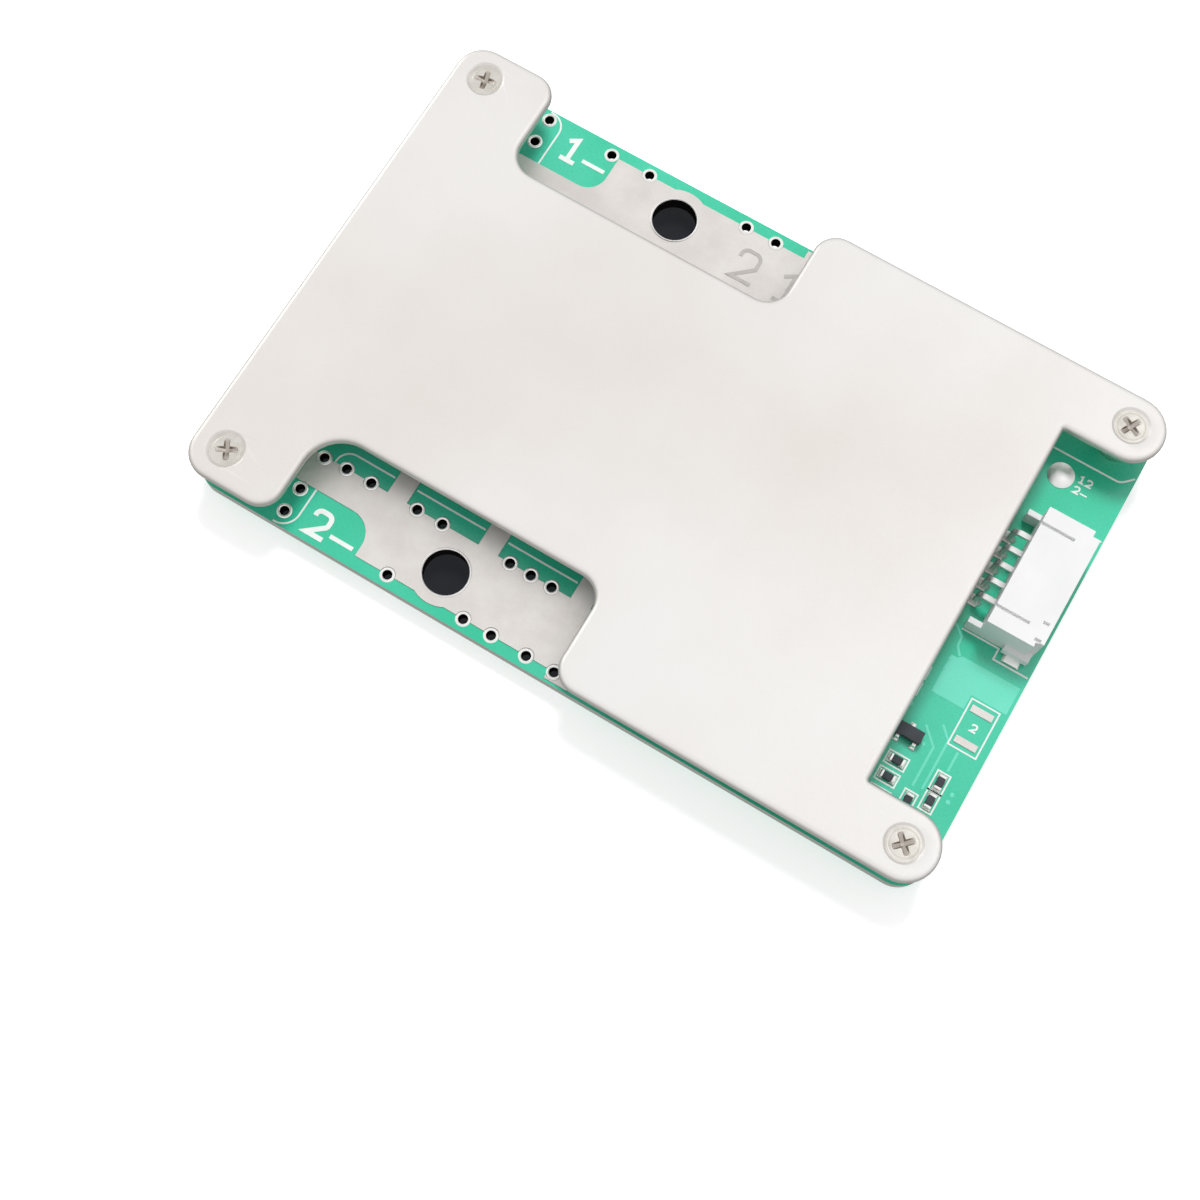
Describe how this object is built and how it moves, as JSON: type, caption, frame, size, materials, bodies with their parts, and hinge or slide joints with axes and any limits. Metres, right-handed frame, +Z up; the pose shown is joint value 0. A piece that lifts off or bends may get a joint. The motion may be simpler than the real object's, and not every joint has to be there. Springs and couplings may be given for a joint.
{
  "type": "battery management board",
  "caption": "Battery management board: green circuit board with two tinned cable terminals, a white side entry header and a notched silver heat sink plate screwed over it.",
  "frame": {"origin": "middle of the board's outline, on the plane of the nuts' undersides, on which the board rests", "axes": "+X along the long side towards the header, +Y across the board towards the battery terminal, +Z up from the nuts to the heat sink plate"},
  "size_m": [0.087, 0.058, 0.0082],
  "materials": {
    "plate_aluminium": "fine matt silver, faintly warm",
    "board_green": "glossy green solder mask",
    "tinned_copper": "matt tin with soft mottling",
    "fastener_steel": "nickel plated",
    "spacer_nickel": "nickel plated, turned",
    "package_black": "moulded epoxy",
    "heat_pad_silicone": "soft matt grey",
    "header_nylon": "moulded off-white",
    "capacitor_ceramic": "fired ceramic",
    "print_white": "screen print",
    "print_grey": "thin grey print"
  },
  "bodies": {
    "root": {"heat_sink_plate": "plate_aluminium", "circuit_board": "board_green", "battery_terminal": "tinned_copper", "pack_terminal": "tinned_copper", "plated_vias": "tinned_copper", "solder_pads": "tinned_copper", "solder_point": "tinned_copper", "pack_row_leadframes": "tinned_copper", "battery_row_leadframes": "tinned_copper", "controller_leads": "tinned_copper", "small_transistor_leads": "tinned_copper", "chip_resistor_ends": "tinned_copper", "filter_capacitor_ends": "tinned_copper", "balance_resistor_ends": "tinned_copper", "current_shunt_ends": "tinned_copper", "header_contacts": "tinned_copper", "header_solder_tabs": "tinned_copper", "corner_screw_1": "fastener_steel", "corner_screw_2": "fastener_steel", "corner_screw_3": "fastener_steel", "corner_screw_4": "fastener_steel", "corner_nut_1": "fastener_steel", "corner_nut_2": "fastener_steel", "corner_nut_3": "fastener_steel", "corner_nut_4": "fastener_steel", "corner_spacer_1": "spacer_nickel", "corner_spacer_2": "spacer_nickel", "corner_spacer_3": "spacer_nickel", "corner_spacer_4": "spacer_nickel", "power_transistor_1": "package_black", "power_transistor_2": "package_black", "power_transistor_3": "package_black", "power_transistor_4": "package_black", "power_transistor_5": "package_black", "power_transistor_6": "package_black", "power_transistor_7": "package_black", "power_transistor_8": "package_black", "balance_transistor_1": "package_black", "balance_transistor_2": "package_black", "balance_transistor_3": "package_black", "balance_transistor_4": "package_black", "edge_transistor": "package_black", "controller_chip": "package_black", "chip_resistors": "package_black", "balance_resistor_1": "package_black", "balance_resistor_2": "package_black", "balance_resistor_3": "package_black", "balance_resistor_4": "package_black", "current_shunt_1": "package_black", "current_shunt_2": "package_black", "current_shunt_3": "package_black", "pack_row_heat_pad": "heat_pad_silicone", "battery_row_heat_pad": "heat_pad_silicone", "header_housing": "header_nylon", "filter_capacitors": "capacitor_ceramic", "screen_print": "print_white", "land_print": "print_grey"}
  },
  "joints": []
}
